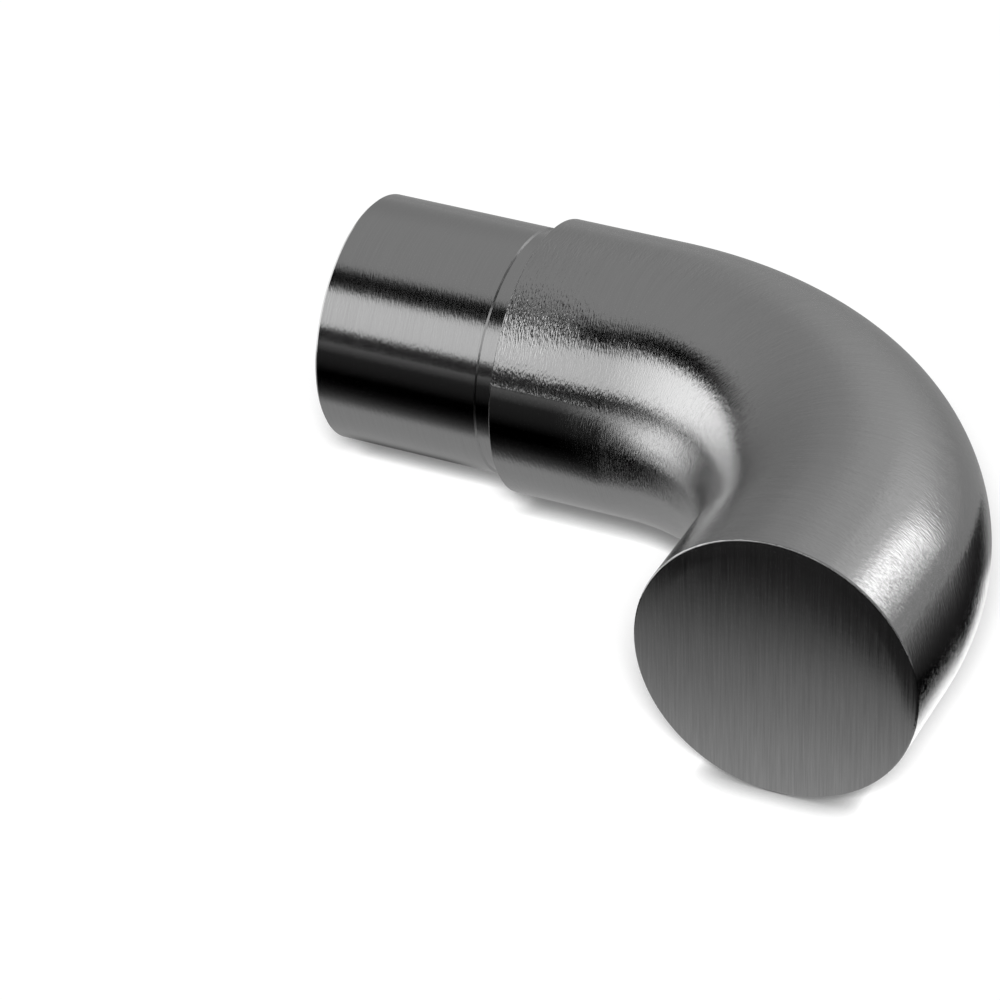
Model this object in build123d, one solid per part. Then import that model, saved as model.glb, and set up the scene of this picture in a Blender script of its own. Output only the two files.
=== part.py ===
from build123d import *
import os

# Handrail end return: a hollow elbow, cast and turned from one piece of stainless steel.
# A spigot plugs into the end of a round handrail tube until the tube butts on the shoulder.
# The body carries on at the tube's own diameter, turns through the bend and ends in a flat
# closed face, which comes to the wall so that the rail has no open end.
#
# Frame: the origin is the centre of the shoulder, on the tube's axis. The spigot points
# along -X, the body leaves along +X and bends towards -Y, and the bend lies in the XY plane.

# Handrail tube that the return finishes
rail_diameter = 42.4
rail_wall = 2.0

# Spigot, turned on the casting's open end
spigot_slip = 0.1
spigot_length = 30.0
spigot_wall = 3.0
spigot_lead_in = 0.4

# Relief turned at the spigot's root, which leaves room for the tube's burr and for glue
relief_width = 3.4
relief_depth = 0.25

# Body: straight inlet, round bend and straight outlet up to the closed face
inlet_length = 18.0
bend_radius = 44.5
bend_angle = 90.0
outlet_length = 16.5
shoulder_break = 0.2
face_break = 0.3

# Hollow left by the casting core
body_wall = 3.0
end_wall = 3.5
core_taper_length = 6.0
core_corner = 2.0

# Sizes that follow from the ones above
body_radius = rail_diameter / 2
spigot_radius = body_radius - rail_wall - spigot_slip
relief_radius = spigot_radius - relief_depth
bore_radius = spigot_radius - spigot_wall
core_radius = body_radius - body_wall
bend_axis = Axis((inlet_length, -bend_radius, 0), (0, 0, -1))


def rims(bar):
    """End circles of a straight round bar that lies along X, the lower X first."""
    return bar.edges().filter_by(GeomType.CIRCLE).sort_by(Axis.X)


def straight(radius, start, end):
    """Round bar on the X axis from start to end."""
    return extrude(Plane.YZ.offset(start) * Circle(radius), end - start)


def bend(radius):
    """Round bar swung about the bend's axis, from the end of the inlet."""
    return revolve(Plane.YZ.offset(inlet_length) * Circle(radius), bend_axis, bend_angle)


def outlet(radius, length, corner):
    """Straight bar past the bend, with corner taken off its closed end's rim."""
    bar = straight(radius, inlet_length, inlet_length + length)
    bar = chamfer(rims(bar)[-1], corner)
    return bar.rotate(bend_axis, bend_angle)


def turned(outline):
    """Solid of revolution about the X axis from points given as (x, radius)."""
    return revolve(make_face(Polyline(*outline, close=True)), Axis.X)


def body():
    """Outside of the elbow at the tube's own diameter, from the shoulder to the closed face."""
    inlet = straight(body_radius, 0, inlet_length)
    inlet = chamfer(rims(inlet)[0], shoulder_break)
    return inlet + bend(body_radius) + outlet(body_radius, outlet_length, face_break)


def spigot():
    """Turned spigot with a lead-in at its open end and a shallow relief at its root."""
    relief_wall = -relief_width + relief_depth
    return turned([
        (-spigot_length, 0),
        (-spigot_length, spigot_radius - spigot_lead_in),
        (-spigot_length + spigot_lead_in, spigot_radius),
        (-relief_width, spigot_radius),
        (relief_wall, relief_radius),
        (0, relief_radius),
        (0, 0),
    ])


def core():
    """Hollow: the spigot's bore, a taper out behind the shoulder, and an even wall round the bend."""
    mouth = turned([
        (-spigot_length, 0),
        (-spigot_length, bore_radius),
        (0, bore_radius),
        (core_taper_length, core_radius),
        (inlet_length, core_radius),
        (inlet_length, 0),
    ])
    return mouth + bend(core_radius) + outlet(core_radius, outlet_length - end_wall, core_corner)


end_return = body() + spigot() - core()

os.makedirs("parts", exist_ok=True)
export_step(end_return, "parts/end_return.step")
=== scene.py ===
import bpy
import numpy as np
from mathutils import Matrix, Vector


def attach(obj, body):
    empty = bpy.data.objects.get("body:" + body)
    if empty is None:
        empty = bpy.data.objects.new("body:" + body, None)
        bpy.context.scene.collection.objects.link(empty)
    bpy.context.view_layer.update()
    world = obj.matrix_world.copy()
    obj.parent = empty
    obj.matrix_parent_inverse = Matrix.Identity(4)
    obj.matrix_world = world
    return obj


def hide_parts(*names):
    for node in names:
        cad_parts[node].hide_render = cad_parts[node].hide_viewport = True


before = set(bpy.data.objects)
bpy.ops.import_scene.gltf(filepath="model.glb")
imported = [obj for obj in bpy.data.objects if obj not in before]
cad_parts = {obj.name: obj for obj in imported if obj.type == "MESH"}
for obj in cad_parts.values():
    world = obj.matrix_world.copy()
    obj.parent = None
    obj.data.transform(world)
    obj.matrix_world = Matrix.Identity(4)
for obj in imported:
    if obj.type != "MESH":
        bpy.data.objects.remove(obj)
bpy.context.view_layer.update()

# The elbow: a hollow handrail end return, cast and turned in one piece of stainless steel.
# Its spigot plugs into the rail's tube up to the shoulder, and its bend ends in a flat
# closed face that comes to the wall. All sizes are in metres, on the CAD model's own axes.

MM = 0.001
BODY_RADIUS = 21.2 * MM
SPIGOT_RADIUS = 19.1 * MM
RELIEF_RADIUS = 18.85 * MM
BORE_RADIUS = 16.1 * MM
CORE_RADIUS = 18.2 * MM
SPIGOT_LENGTH = 30.0 * MM
LEAD_IN = 0.4 * MM
RELIEF_WIDTH = 3.4 * MM
SHOULDER_BREAK = 0.2 * MM
FACE_BREAK = 0.3 * MM
RIM_GAP = 0.06 * MM
INLET = 18.0 * MM
BEND_RADIUS = 44.5 * MM
OUTLET = 16.5 * MM
END_WALL = 3.5 * MM
CORE_TAPER = 6.0 * MM
CORE_CORNER = 2.0 * MM
BEND_END = INLET + BEND_RADIUS * np.pi / 2
PATH_END = BEND_END + OUTLET
ROUND_STEPS = 168


def path(station):
    """Point on the elbow's centre line and the unit vector to the outside of the bend.

    The line runs along X up to the inlet's end, then round a quarter circle towards -Y, whose
    angle is the arc length past the inlet over the bend's radius, then straight on along -Y.
    """
    turn = np.clip((station - INLET) / BEND_RADIUS, 0, np.pi / 2)
    before = np.minimum(station, INLET)
    after = np.maximum(station - BEND_END, 0)
    x = before + BEND_RADIUS * np.sin(turn)
    y = -BEND_RADIUS * (1 - np.cos(turn)) - after
    flat = np.zeros_like(station)
    centre = np.stack([x, y, flat], -1)
    outside = np.stack([np.sin(turn), np.cos(turn), flat], -1)
    return centre, outside


def run(start, end, step):
    """Even stations from start to end, both kept, no further apart than step."""
    return np.linspace(start, end, int(np.ceil(abs(end - start) / step)) + 1)


def level(stations, radius):
    """Profile points (station, radius) at one radius."""
    return np.stack([stations, np.full_like(stations, radius)], -1)


# The profile goes from the middle of the core's end, back out along the bore to the mouth, and
# over the outside to the middle of the closed face. Each part ends where the next begins. A
# ring lies RIM_GAP from the rim's curve on both sides, to keep the smooth shading beside it flat.
core_end = PATH_END - END_WALL
turn_in = np.linspace(0, np.pi / 2, 7)
rim = np.stack([
    PATH_END - FACE_BREAK + FACE_BREAK * np.sin(turn_in),
    BODY_RADIUS - FACE_BREAK + FACE_BREAK * np.cos(turn_in),
], -1)
face_radii = np.array([20.84, 20.5, 18.0, 14.0, 9.0, 4.5]) * MM
inside = np.concatenate([
    [[core_end, 8 * MM], [core_end, CORE_RADIUS - CORE_CORNER]],
    level(run(core_end - CORE_CORNER, CORE_TAPER, 1.5 * MM), CORE_RADIUS),
    level(run(0, -SPIGOT_LENGTH, 3 * MM), BORE_RADIUS),
])
spigot = np.concatenate([
    [[-SPIGOT_LENGTH, SPIGOT_RADIUS - LEAD_IN]],
    level(run(-SPIGOT_LENGTH + LEAD_IN, -RELIEF_WIDTH, 1.0 * MM), SPIGOT_RADIUS),
    level(run(-RELIEF_WIDTH + SPIGOT_RADIUS - RELIEF_RADIUS, 0, 1.0 * MM), RELIEF_RADIUS),
])
body = np.concatenate([
    [[0, BODY_RADIUS - SHOULDER_BREAK]],
    level(run(SHOULDER_BREAK, PATH_END - FACE_BREAK - RIM_GAP, 0.5 * MM), BODY_RADIUS),
    rim,
])
face = np.stack([np.full_like(face_radii, PATH_END), face_radii], -1)
profile = np.concatenate([inside, spigot, body, face])


def swept(profile, around):
    """Rings of points, one for each profile point (station, radius) and angle.

    A point is the centre line's point, plus radius times the cosine of the angle along the
    outside vector, plus radius times the sine of the angle along Z. Angle 0 is the outside of
    the bend and 90 degrees is the top.
    """
    centre, outside = path(profile[:, 0])
    cos = np.cos(around)[None, :, None]
    sin = np.sin(around)[None, :, None]
    radius = profile[:, 1][:, None, None]
    up = np.array([0.0, 0.0, 1.0])
    return centre[:, None] + radius * (cos * outside[:, None] + sin * up)


# The angle starts under the piece, so the seam of the pattern's map lies where nothing shows.
around = -np.pi / 2 + (np.arange(ROUND_STEPS) + 0.5) * 2 * np.pi / ROUND_STEPS
rings = len(profile)
points = swept(profile, around).reshape(-1, 3)
pole_in = path(np.array([core_end]))[0][0]
pole_out = path(np.array([PATH_END]))[0][0]
vertices = np.concatenate([points, [pole_in, pole_out]])

i, j = np.meshgrid(np.arange(rings - 1), np.arange(ROUND_STEPS), indexing="ij")
k = (j + 1) % ROUND_STEPS
quads = np.stack([
    i * ROUND_STEPS + j,
    i * ROUND_STEPS + k,
    (i + 1) * ROUND_STEPS + k,
    (i + 1) * ROUND_STEPS + j,
], -1).reshape(-1, 4)
j = np.arange(ROUND_STEPS)
k = (j + 1) % ROUND_STEPS
last = (rings - 1) * ROUND_STEPS
fan_in = np.stack([np.full_like(j, len(points)), k, j], -1)
fan_out = np.stack([np.full_like(j, len(points) + 1), last + j, last + k], -1)


def mesh_of(name, vertices, *groups):
    """Mesh from whole arrays: vertices, then face arrays of three or four corners each."""
    corners = np.concatenate([g.ravel() for g in groups])
    sizes = np.concatenate([np.full(len(g), g.shape[1]) for g in groups])
    starts = np.concatenate([[0], np.cumsum(sizes)[:-1]])
    mesh = bpy.data.meshes.new(name)
    mesh.vertices.add(len(vertices))
    mesh.vertices.foreach_set("co", np.asarray(vertices, np.float32).ravel())
    mesh.loops.add(len(corners))
    mesh.loops.foreach_set("vertex_index", corners.astype(np.int32))
    mesh.polygons.add(len(sizes))
    mesh.polygons.foreach_set("loop_start", starts.astype(np.int32))
    mesh.update(calc_edges=True)
    mesh.validate()
    return mesh


elbow_mesh = mesh_of("handrail_end_return", vertices, quads, fan_in, fan_out)
elbow_mesh.shade_smooth()
elbow = bpy.data.objects.new("handrail_end_return", elbow_mesh)
bpy.context.collection.objects.link(elbow)

# Creases: the rings where the real edges are, kept sharp so that flats stay flat.
first_spigot = len(inside)
first_body = first_spigot + len(spigot)
first_face = first_body + len(body)
mouth_bore = first_spigot - 1
taper_end = int(np.argmax(np.isclose(inside[:, 0], CORE_TAPER)))
relief_start = first_spigot + int(np.argmax(np.isclose(spigot[:, 0], -RELIEF_WIDTH)))
creases = np.array([
    1, 2, taper_end, taper_end + 1, mouth_bore,
    first_spigot, first_spigot + 1, relief_start, relief_start + 1,
    first_body - 1, first_body, first_body + 1,
])
ring_of = np.full(len(vertices), -1)
ring_of[:len(points)] = np.repeat(np.arange(rings), ROUND_STEPS)
edge_ends = np.empty(len(elbow_mesh.edges) * 2, np.int32)
elbow_mesh.edges.foreach_get("vertices", edge_ends)
edge_rings = ring_of[edge_ends.reshape(-1, 2)]
along_ring = edge_rings[:, 0] == edge_rings[:, 1]
sharp = along_ring & np.isin(edge_rings[:, 0], creases)
elbow_mesh.attributes.new("sharp_edge", "BOOLEAN", "EDGE").data.foreach_set("value", sharp)

# Straight-bar place: each point as it would lie if the bend were pulled straight, in metres.
bar = np.zeros((len(vertices), 3))
bar[:len(points), 0] = np.repeat(profile[:, 0], ROUND_STEPS)
bar[:len(points), 1] = (profile[:, 1][:, None] * np.cos(around)).ravel()
bar[:len(points), 2] = (profile[:, 1][:, None] * np.sin(around)).ravel()
bar[-2, 0] = core_end
bar[-1, 0] = PATH_END
bar_place = elbow_mesh.attributes.new("bar_place", "FLOAT_VECTOR", "POINT")
bar_place.data.foreach_set("vector", bar.astype(np.float32).ravel())

# Map for the grain's direction: across the grain is U. Round the tube, U is the length along
# the profile and V the turn; on the closed face, U is the width and V the height.
arc = np.concatenate([[0], np.cumsum(np.hypot(*np.diff(profile, axis=0).T))])
quad_ring = np.repeat(np.arange(rings - 1), ROUND_STEPS)
quad_step = np.tile(np.arange(ROUND_STEPS), rings - 1)
quad_u = np.stack([arc[quad_ring], arc[quad_ring], arc[quad_ring + 1], arc[quad_ring + 1]], -1)
quad_v = np.stack([quad_step, quad_step + 1, quad_step + 1, quad_step], -1) / ROUND_STEPS
quad_uv = np.stack([quad_u / arc[-1], quad_v], -1)
on_face = quad_ring >= first_face - 1
flat_uv = bar[:, 1:] / (4 * BODY_RADIUS) + 0.5
quad_uv[on_face] = flat_uv[quads[on_face]]
grain_map = elbow_mesh.uv_layers.new(name="grain")
fan_uv = flat_uv[np.concatenate([fan_in, fan_out])]
uv = np.concatenate([quad_uv.reshape(-1, 2), fan_uv.reshape(-1, 2)])
grain_map.uv.foreach_set("vector", uv.astype(np.float32).ravel())

# Which finish each face has: 0 body, 1 spigot, 2 closed face, 3 core.
finish = np.zeros(len(quads) + 2 * ROUND_STEPS, np.int32)
finish[:len(quads)][quad_ring < first_body] = 1
finish[:len(quads)][quad_ring < mouth_bore] = 3
finish[:len(quads)][on_face] = 2
finish[len(quads):len(quads) + ROUND_STEPS] = 3
finish[len(quads) + ROUND_STEPS:] = 2
elbow_mesh.polygons.foreach_set("material_index", finish)


def linear(hex_colour):
    """Linear RGBA from an sRGB hex colour such as "#adadad"."""
    s = np.array([int(hex_colour[n:n + 2], 16) for n in (1, 3, 5)]) / 255
    rgb = np.where(s <= 0.04045, s / 12.92, ((s + 0.055) / 1.055) ** 2.4)
    return (*rgb.tolist(), 1.0)


def add(tree, kind, links=(), **settings):
    """New node of a kind. Settings name its properties, or its inputs by name or number as
    in_NAME; links are (input, output socket) pairs."""
    node = tree.nodes.new(kind)
    for key, value in settings.items():
        if not key.startswith("in_"):
            setattr(node, key, value)
    for key, value in settings.items():
        if key.startswith("in_"):
            key = key[3:]
            node.inputs[int(key) if key.isdigit() else key.replace("_", " ")].default_value = value
    for socket, source in links:
        tree.links.new(source, node.inputs[socket])
    return node


# Scratches to a metre along the tube, and across it both ways, as the piece would lie if it were
# straight. Real abrasive marks are some 0.02 mm wide, too fine to show, so they are drawn 0.2 to
# 0.3 mm wide. Strokes are shorter marks that show where light meets dark.
ROUND = (1 / (0.30 * MM), 1 / (9 * MM), 1 / (9 * MM))
TURNED = (1 / (0.22 * MM), 1 / (20 * MM), 1 / (20 * MM))
UPRIGHT = (1 / (9 * MM), 1 / (0.25 * MM), 1 / (9 * MM))
STROKES = (1 / (0.22 * MM), 1 / (0.9 * MM), 1 / (0.9 * MM))
SLOW_WAVE = 9 * MM
WORN_PLACE = (3 * MM, -11 * MM, 18.1 * MM)
ROLL_START = 18.2 * MM
ROLL_END = 24 * MM


def steel(name, grain, dark, light, roughness, spread, hair, stroke, wave, anisotropic=0.7,
          worn=0.0, rolled=0.0):
    """Steel whose scratches are noise drawn out along the grain.

    Grain is how many scratches there are to a metre each way. Height is hair times the grain's
    noise, plus stroke times the strokes' noise, plus wave times a slow noise, each in metres.
    The strokes are 1 + worn times as deep on a patch by the shoulder. Rolled is how far the
    height drops over a curve that sets in 3 mm inside the closed face's rim. Roughness goes up
    and down by spread with the grain's noise, and colour goes from dark to light with it.
    """
    material = bpy.data.materials.new(name)
    material.use_nodes = True
    tree = material.node_tree
    tree.nodes.clear()
    place = add(tree, "ShaderNodeAttribute", attribute_name="bar_place").outputs["Vector"]
    drawn = add(tree, "ShaderNodeMapping", [("Vector", place)], in_Scale=grain)
    scratch = add(tree, "ShaderNodeTexNoise", [("Vector", drawn.outputs[0])],
                  in_Scale=1.0, in_Detail=3.0, in_Roughness=0.6)
    short = add(tree, "ShaderNodeMapping", [("Vector", place)], in_Scale=STROKES)
    strokes = add(tree, "ShaderNodeTexNoise", [("Vector", short.outputs[0])],
                  in_Scale=1.0, in_Detail=2.0, in_Roughness=0.5)
    waves = add(tree, "ShaderNodeTexNoise", [("Vector", place)],
                in_Scale=1 / SLOW_WAVE, in_Detail=1.0)
    colour = add(tree, "ShaderNodeMix", [("Factor", scratch.outputs["Fac"])],
                 data_type="RGBA", in_6=linear(dark), in_7=linear(light))
    rough = add(tree, "ShaderNodeMapRange", [("Value", scratch.outputs["Fac"])], in_1=0.2,
                in_2=0.8, in_3=roughness - spread, in_4=roughness + spread)
    from_patch = add(tree, "ShaderNodeVectorMath", [(0, place)], operation="DISTANCE",
                     in_1=WORN_PLACE)
    depth = add(tree, "ShaderNodeMapRange", [("Value", from_patch.outputs["Value"])],
                interpolation_type="SMOOTHSTEP", in_1=5 * MM, in_2=13 * MM, in_3=1 + worn, in_4=1.0)
    deep = add(tree, "ShaderNodeMath", [(0, strokes.outputs["Fac"]), (1, depth.outputs[0])],
               operation="MULTIPLY")
    from_middle = add(tree, "ShaderNodeVectorMath", [(0, place)], operation="DISTANCE",
                      in_1=(PATH_END, 0, 0))
    roll = add(tree, "ShaderNodeMapRange", [("Value", from_middle.outputs["Value"])],
               interpolation_type="SMOOTHSTEP", in_1=ROLL_START, in_2=ROLL_END, in_3=1.0, in_4=0.0)
    bump = add(tree, "ShaderNodeBump", [("Height", scratch.outputs["Fac"])],
               in_Strength=1.0, in_Distance=hair)
    for height, distance in ((deep, stroke), (waves, wave), (roll, rolled)):
        bump = add(tree, "ShaderNodeBump",
                   [("Height", height.outputs[0]), ("Normal", bump.outputs[0])],
                   in_Strength=1.0, in_Distance=distance)
    tangent = add(tree, "ShaderNodeTangent", direction_type="UV_MAP", uv_map="grain")
    shader = add(tree, "ShaderNodeBsdfPrincipled", [
        ("Base Color", colour.outputs[2]), ("Roughness", rough.outputs[0]),
        ("Normal", bump.outputs[0]), ("Tangent", tangent.outputs[0]),
    ], in_Metallic=1.0, in_Anisotropic=anisotropic)
    add(tree, "ShaderNodeOutputMaterial", [("Surface", shader.outputs[0])])
    return material


# The body is brushed round the tube with an abrasive band: bands of light run out softly across
# the grain, and their edges break up into fine strokes.
elbow_mesh.materials.append(steel(
    "brushed_stainless_steel", ROUND, "#a6a6a6", "#b4b4b4", 0.16, 0.05,
    hair=0.01 * MM, stroke=0.05 * MM, wave=0.01 * MM, worn=2.2))
# The spigot is turned on a lathe: finer and glossier than the body, with hardly any streak.
elbow_mesh.materials.append(steel(
    "turned_stainless_steel", TURNED, "#a6a6a6", "#b4b4b4", 0.17, 0.03,
    hair=0.004 * MM, stroke=0.02 * MM, wave=0.01 * MM))
# The closed face is brushed upright on a belt: a hair-line streak, and an edge a little rolled.
elbow_mesh.materials.append(steel(
    "upright_brushed_stainless_steel", UPRIGHT, "#989898", "#c4c4c4", 0.18, 0.06,
    hair=0.01 * MM, stroke=0.004 * MM, wave=0.01 * MM, rolled=0.25 * MM))
# The hollow is left as cast: dull and a little darker, with no grain.
elbow_mesh.materials.append(steel(
    "cast_stainless_steel", ROUND, "#868686", "#989898", 0.45, 0.06,
    hair=0.004 * MM, stroke=0.01 * MM, wave=0.02 * MM, anisotropic=0.0))
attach(elbow, "root")
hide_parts("end_return")

# The floor: a plain white laminate table top that the piece rests on. The lamp lights it to
# just under white, and a little white of its own brings it up to the background for the camera
# and the metal, so that it keeps the piece's shadow.
FLOOR_LEVEL = -BODY_RADIUS
CONTACT_REACH = 3.4 * MM
CONTACT_DEPTH = 1.7
OWN_WHITE = 0.18


def shown_rays(tree):
    """1 for camera, glossy and transmission rays, otherwise 0."""
    rays = add(tree, "ShaderNodeLightPath")
    both = add(tree, "ShaderNodeMath", [(0, rays.outputs["Is Camera Ray"]),
                                        (1, rays.outputs["Is Glossy Ray"])], operation="ADD")
    return add(tree, "ShaderNodeMath", [(0, both.outputs[0]),
                                        (1, rays.outputs["Is Transmission Ray"])],
               operation="ADD", use_clamp=True)


def disc(name, radius, height, steps=96):
    """Flat disc facing up, its rim points at the cosine and sine of even angles."""
    turn = np.arange(steps) * 2 * np.pi / steps
    ring = np.stack([radius * np.cos(turn), radius * np.sin(turn), np.full(steps, height)], -1)
    vertices = np.concatenate([ring, [[0, 0, height]]])
    j = np.arange(steps)
    fan = np.stack([np.full(steps, steps), j, (j + 1) % steps], -1)
    piece = bpy.data.objects.new(name, mesh_of(name, vertices, fan))
    bpy.context.collection.objects.link(piece)
    return piece


floor = disc("floor", 5.0, FLOOR_LEVEL - 0.05 * MM)
# White laminate is matt and plain. Painted contact shadow: its colour darkens in a narrow line where
# the piece comes close.
white = bpy.data.materials.new("white_laminate")
white.use_nodes = True
tree = white.node_tree
tree.nodes.clear()
open_above = add(tree, "ShaderNodeAmbientOcclusion", samples=3, in_Distance=CONTACT_REACH)
dim = add(tree, "ShaderNodeMath", [(0, open_above.outputs["AO"])], operation="POWER",
          in_1=CONTACT_DEPTH)
painted_contact_shade = add(tree, "ShaderNodeMix", [("Factor", dim.outputs[0])], data_type="RGBA",
            in_6=(0, 0, 0, 1), in_7=linear("#ededed"))
matt = add(tree, "ShaderNodeBsdfDiffuse", [("Color", painted_contact_shade.outputs[2])])
own = add(tree, "ShaderNodeMath", [(0, shown_rays(tree).outputs[0])], operation="MULTIPLY",
          in_1=OWN_WHITE)
glow = add(tree, "ShaderNodeEmission", [("Strength", own.outputs[0])], in_Color=(1, 1, 1, 1))
both = add(tree, "ShaderNodeAddShader", [(0, matt.outputs[0]), (1, glow.outputs[0])])
add(tree, "ShaderNodeOutputMaterial", [("Surface", both.outputs[0])])
white.cycles.emission_sampling = "NONE"
floor.data.materials.append(white)

# The background: a plain white studio wall for the camera, the metal and glass, and a soft grey
# one for the light that it gives.
world = bpy.data.worlds.new("studio")
bpy.context.scene.world = world
world.use_nodes = True
tree = world.node_tree
tree.nodes.clear()
strength = add(tree, "ShaderNodeMapRange", [("Value", shown_rays(tree).outputs[0])],
               in_3=0.1, in_4=1.0)
sky = add(tree, "ShaderNodeBackground", [("Strength", strength.outputs[0])], in_Color=(1, 1, 1, 1))
add(tree, "ShaderNodeOutputWorld", [("Surface", sky.outputs[0])])


def direction(azimuth, elevation):
    """Unit vector: azimuth 0 is towards -Y, 90 towards +X; elevation is up."""
    a = np.radians(azimuth)
    e = np.radians(elevation)
    return np.array([np.sin(a) * np.cos(e), -np.cos(a) * np.cos(e), np.sin(e)])


# The lamp: one large soft light from just above the camera, wide enough for a soft edge to the
# shadow. It lights a level white surface to 0.9 of white and isn't mirrored in the metal.
LAMP_WAY = direction(22, 41)
LAMP_WIDTH = np.radians(17)
FLOOR_SHARE = 0.9
lamp = bpy.data.lights.new("key", "SUN")
lamp.angle = LAMP_WIDTH
lamp.energy = FLOOR_SHARE * np.pi / LAMP_WAY[2]
key = bpy.data.objects.new("key", lamp)
key.rotation_euler = Vector(LAMP_WAY).to_track_quat("Z", "Y").to_euler()
key.visible_glossy = False
bpy.context.collection.objects.link(key)

# The tent: cloths hung round the table, which only the metal sees. It is a dome that glows by
# direction. Its straight edges are great circles, as a straight edge seen from the piece is.
TENT = 4.0
turn, lift = np.meshgrid(np.linspace(0, 2 * np.pi, 65)[:-1], np.radians(np.linspace(-2, 89, 24)))
shell = np.stack([np.cos(lift) * np.cos(turn), np.cos(lift) * np.sin(turn), np.sin(lift)], -1)
rows, columns = turn.shape
i, j = np.meshgrid(np.arange(rows - 1), np.arange(columns), indexing="ij")
k = (j + 1) % columns
walls = np.stack([i * columns + j, (i + 1) * columns + j, (i + 1) * columns + k,
                  i * columns + k], -1).reshape(-1, 4)


def for_metal(name, mesh):
    """Stage object that only reflections see."""
    piece = bpy.data.objects.new(name, mesh)
    bpy.context.collection.objects.link(piece)
    for rays in ("camera", "diffuse", "transmission", "shadow", "volume_scatter"):
        setattr(piece, "visible_" + rays, False)
    return piece


tent = for_metal("tent", mesh_of("tent", TENT * shell.reshape(-1, 3), walls))
cloth = bpy.data.materials.new("tent_cloth")
cloth.use_nodes = True
tree = cloth.node_tree
tree.nodes.clear()
place = add(tree, "ShaderNodeTexCoord")
way = add(tree, "ShaderNodeVectorMath", [(0, place.outputs["Object"])], operation="NORMALIZE")


def side_of(towards, start, end):
    """0 where the cosine from a direction is at start, 1 where it is at end, smooth between."""
    side = add(tree, "ShaderNodeVectorMath", [(0, way.outputs[0])], operation="DOT_PRODUCT")
    side.inputs[1].default_value = towards
    return add(tree, "ShaderNodeMapRange", [("Value", side.outputs["Value"])],
               interpolation_type="SMOOTHSTEP", in_1=start, in_2=end, in_3=0.0, in_4=1.0)


def under_edge(azimuth, elevation, soft):
    """1 below the great circle whose highest point is at azimuth and elevation, 0 above it."""
    return side_of(direction(azimuth + 180, 90 - elevation), soft, -soft)


def laid(under, strength, *masks):
    """Strength where all the masks are 1, over what is under it."""
    cover = masks[0].outputs[0]
    for mask in masks[1:]:
        cover = add(tree, "ShaderNodeMath", [(0, cover), (1, mask.outputs[0])],
                    operation="MULTIPLY").outputs[0]
    return add(tree, "ShaderNodeMix", [("A", under), ("Factor", cover)], data_type="FLOAT",
               in_B=strength).outputs[0]


# Grey cloth all round, lighter behind to the right.
lit_back = side_of(direction(165, 31), 0.85, 0.99)
glow_now = add(tree, "ShaderNodeMix", [("Factor", lit_back.outputs[0])], data_type="FLOAT",
                in_A=0.43, in_B=0.6).outputs[0]
glow_now = laid(glow_now, 0.85, side_of(direction(152, 30), 0.95, 0.995))
# A darker cloth behind to the left.
glow_now = laid(glow_now, 0.31, side_of(direction(226, 12), 0.86, 0.985))
# The black gap over the bright panel, at the front left.
glow_now = laid(glow_now, 0.0, under_edge(-26.6, 63.5, 0.05), side_of(direction(-50, 30), 0.35, 0.75))
# The bright panel at the left and front, and its brightest part.
glow_now = laid(glow_now, 1.0, under_edge(-27, 45.5, 0.05))
glow_now = laid(glow_now, 1.9, under_edge(-27, 43.5, 0.05), side_of(direction(-90, 8), 0.45, 0.95))
# A black card under the panel, with a thin grey line at its foot.
glow_now = laid(glow_now, 0.02, under_edge(10, 17.5, 0.05))
glow_now = laid(glow_now, 0.2, under_edge(-60, 3.5, 0.03), side_of(direction(-52, 0), 0.6, 0.9))
shine = add(tree, "ShaderNodeEmission", [("Strength", glow_now)], in_Color=(1, 1, 1, 1))
add(tree, "ShaderNodeOutputMaterial", [("Surface", shine.outputs[0])])
cloth.cycles.emission_sampling = "NONE"
tent.data.materials.append(cloth)

# The table cards: cloths and boards of card on and by the table, which only the metal sees. They
# give its lower half the dark and light bands that a product studio gives it. Where two overlap,
# the upper one lies a few hundredths of a millimetre over the other.


def card_steps(soft, count):
    """Even steps from 0 to 1, with finer ones where the card thins out at both sides."""
    fade = np.linspace(0, max(soft, 0.001), 6)
    return np.unique(np.concatenate([fade, np.linspace(0, 1, count * 2 - 1), 1 - fade]))


def card_cover(share, soft):
    """1 inside and 0 at both sides, by the smooth curve 3 t t - 2 t t t over a width of soft."""
    t = np.clip(np.minimum(share, 1 - share) / soft, 0, 1) if soft else np.ones_like(share)
    return t * t * (3 - 2 * t)


def card(name, corners, levels, soft_sides, soft_ends):
    """Glowing card over four corners (x, y, height over the table, all in millimetres).

    The first two corners are its near end and the others its far end, and its points go evenly
    between them. Levels are its light at even steps from near to far. It thins out to nothing
    over a share of its width at its sides, soft_sides, and of its length at its ends, soft_ends.
    """
    u, v = np.meshgrid(card_steps(soft_sides, len(levels)), card_steps(soft_ends, len(levels)),
                       indexing="ij")
    near_left, near_right, far_right, far_left = np.array(corners, float) * MM
    across = u[..., None]
    along = v[..., None]
    points = (1 - along) * ((1 - across) * near_left + across * near_right)
    points += along * ((1 - across) * far_left + across * far_right)
    points[..., 2] += FLOOR_LEVEL
    rows, columns = u.shape
    i, j = np.meshgrid(np.arange(rows - 1), np.arange(columns - 1), indexing="ij")
    first = i * columns + j
    cells = np.stack([first, first + columns, first + columns + 1, first + 1], -1)
    mesh = mesh_of(name, points.reshape(-1, 3), cells.reshape(-1, 4))
    cover = card_cover(u, soft_sides) * card_cover(v, soft_ends)
    light = np.interp(v, np.linspace(0, 1, len(levels)), levels)
    for attribute, values in (("cover", cover), ("light", light)):
        made = mesh.attributes.new(attribute, "FLOAT", "POINT")
        made.data.foreach_set("value", values.astype(np.float32).ravel())
    mesh.materials.append(paper)
    return for_metal(name, mesh)


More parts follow.
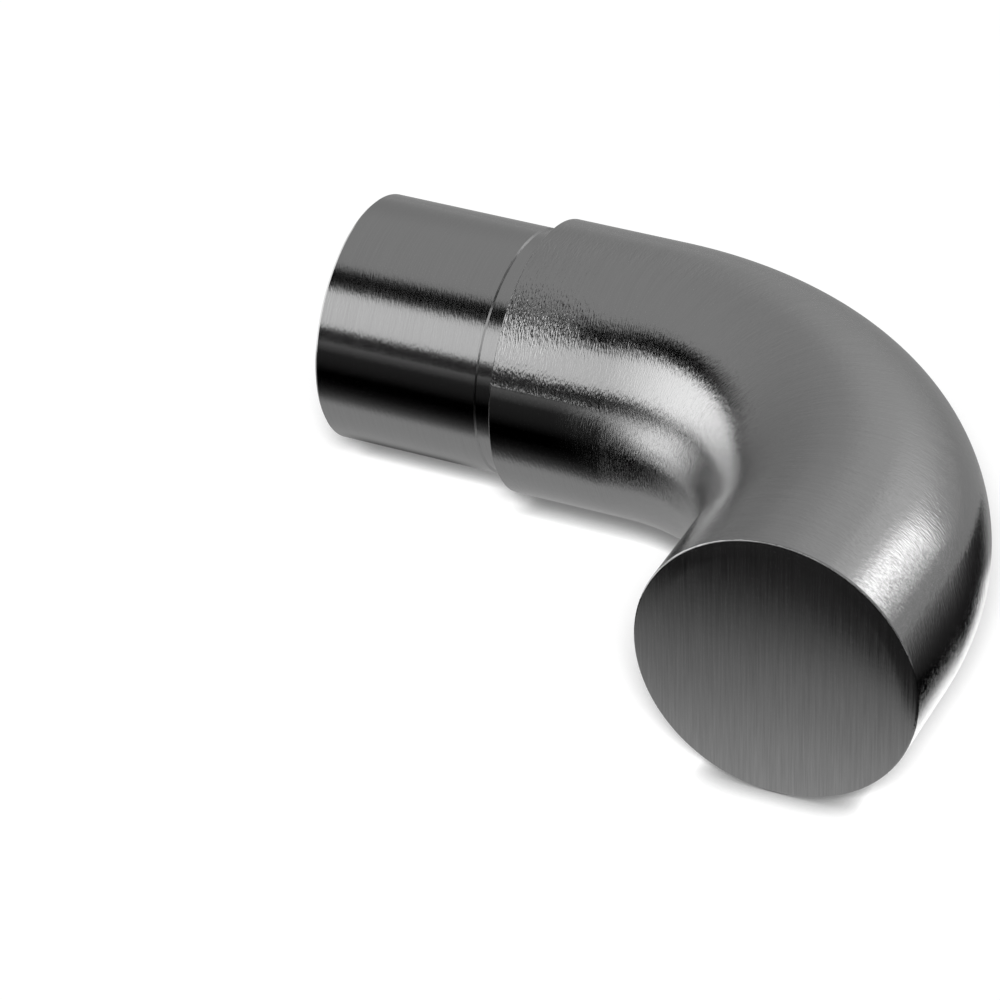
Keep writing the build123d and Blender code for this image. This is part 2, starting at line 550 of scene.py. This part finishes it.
# Card in a soft light: each card's own level, thinning out at its edges.
paper = bpy.data.materials.new("table_card")
paper.use_nodes = True
tree = paper.node_tree
tree.nodes.clear()
light = add(tree, "ShaderNodeAttribute", attribute_name="light")
cover = add(tree, "ShaderNodeAttribute", attribute_name="cover")
shine = add(tree, "ShaderNodeEmission", [("Strength", light.outputs["Fac"])], in_Color=(1, 1, 1, 1))
clear = add(tree, "ShaderNodeBsdfTransparent")
mixed = add(tree, "ShaderNodeMixShader", [(0, cover.outputs["Fac"]), (1, clear.outputs[0]),
                                          (2, shine.outputs[0])])
add(tree, "ShaderNodeOutputMaterial", [("Surface", mixed.outputs[0])])
paper.cycles.emission_sampling = "NONE"
# Grey cloth behind the piece, out to the horizon.
card("back_cloth", [(-400, 300, 0.05), (350, -260, 0.05), (3900, 900, 0.05), (-2500, 3500, 0.05)],
     [0.36, 0.36], 0.02, 0.003)
# A bright board to the left, which the inside of the bend mirrors.
card("left_board", [(-32, -90, 0.08), (-20, 25, 0.08), (-500, 320, 0.08), (-500, -400, 0.08)],
     [1.6, 1.6], 0.1, 0.035)
# Grey cloth far off at the front left.
card("far_cloth", [(-200, -380, 0.06), (-280, -60, 0.06), (-3900, -900, 0.06), (-2200, -3300, 0.06)],
     [0.25, 0.25], 0.05, 0.01)
# Grey cloth to the right, black where it comes near the piece.
card("right_cloth", [(91, -70, 0.10), (86, 50, 0.10), (4300, 2800, 0.10), (4300, -2300, 0.10)],
     [0.3, 0.4], 0.02, 0.001)
card("right_edge", [(91, -70, 0.12), (86, 50, 0.12), (300, 190, 0.12), (300, -181, 0.12)],
     [0.0, 0.04, 0.14, 0.22, 0.27, 0.3], 0.02, 0.0)
# Black cloth in front of the piece.
card("front_cloth", [(-8, -14, 0.15), (230, -14, 0.15), (400, -440, 0.15), (-164, -440, 0.15)],
     [0.0, 0.1], 0.02, 0.02)
# The grey board that the piece lies on, and a smaller one inside the bend: painted shade, grey cards
# that stand for the table's shade round and under the piece as the metal mirrors it.
card("board", [(-80, 40, 0.20), (-80, -26.5, 0.20), (80, -23.5, 0.20), (80, 40, 0.20)],
     [0.43, 0.43], 0.0, 0.0)
card("corner_board", [(13, -12, 0.22), (74, -12, 0.22), (74, -50, 0.22), (13, -50, 0.22)],
     [0.43, 0.43], 0.03, 0.1)
# A board before the closed face, from grey at its foot to black, and its strip.
card("face_board", [(12, -56, 0.25), (110, -66, 0.25), (38, -114, 0.25), (-4, -114, 0.25)],
     [0.47, 0.40, 0.31, 0.23, 0.13, 0.04, 0.0], 0.06, 0.0)
card("foot_board", [(14, -48, 0.23), (100, -48, 0.23), (97, -68, 0.23), (12, -68, 0.23)],
     [0.5, 0.5], 0.08, 0.0)
# A white board beside the outlet, and a dark card under the spigot: painted shade, standing for the
# table's shade under the spigot as the metal mirrors it.
card("right_board", [(58, -58, 0.30), (89, -58, 0.30), (89, 10, 0.30), (58, 10, 0.30)],
     [1.7, 1.3], 0.08, 0.16)
card("under_spigot", [(-36, -12.5, 0.35), (-6, -12.5, 0.35), (-6, 10, 0.35), (-36, 10, 0.35)],
     [0.08, 0.16], 0.3, 0.25)
# A card that stands before the straight part: grey, then black, with a thin grey top.
card("low_wall", [(-55, -24.5, 0.0), (25, -22.2, 3.5), (25, -22.2, 28.0), (-55, -24.5, 27.5)],
     [0.43, 0.43, 0.42, 0.3, 0.13, 0.05, 0.01, 0.0, 0.0, 0.02, 0.03, 0.17], 0.2, 0.0)
# A narrow light hung to the right of the piece, which the outlet mirrors by the face.
card("rim_light", [(90, -50, 71), (90, -12, 71), (300, 270, 71), (300, 165, 71)],
     [2.4, 4.4, 3.5, 2.6, 2.1, 1.7, 1.3, 1.0], 0.5, 0.1)

# The camera stands where the photograph was taken from, with a long lens.
CAMERA_AZIMUTH = 26.469
CAMERA_ELEVATION = 34.228
CAMERA_ROLL = np.radians(-2.058)
CAMERA_DISTANCE = 0.704406
CAMERA_AIM = np.array([9.871, -37.910, 0.0]) * MM
LENS_TO_SENSOR = 4.85659
back = direction(CAMERA_AZIMUTH, CAMERA_ELEVATION)
right = direction(CAMERA_AZIMUTH + 90, 0)
up = np.cross(back, right)
right, up = (np.cos(CAMERA_ROLL) * right + np.sin(CAMERA_ROLL) * up,
             np.cos(CAMERA_ROLL) * up - np.sin(CAMERA_ROLL) * right)
lens = bpy.data.cameras.new("camera")
lens.sensor_width = 36.0
lens.lens = LENS_TO_SENSOR * lens.sensor_width
camera = bpy.data.objects.new("camera", lens)
stand = Matrix.Translation((CAMERA_AIM + CAMERA_DISTANCE * back).tolist())
camera.matrix_world = stand @ Matrix(np.column_stack([right, up, back]).tolist()).to_4x4()
bpy.context.collection.objects.link(camera)
bpy.context.scene.camera = camera
bpy.context.scene.view_settings.view_transform = "Standard"
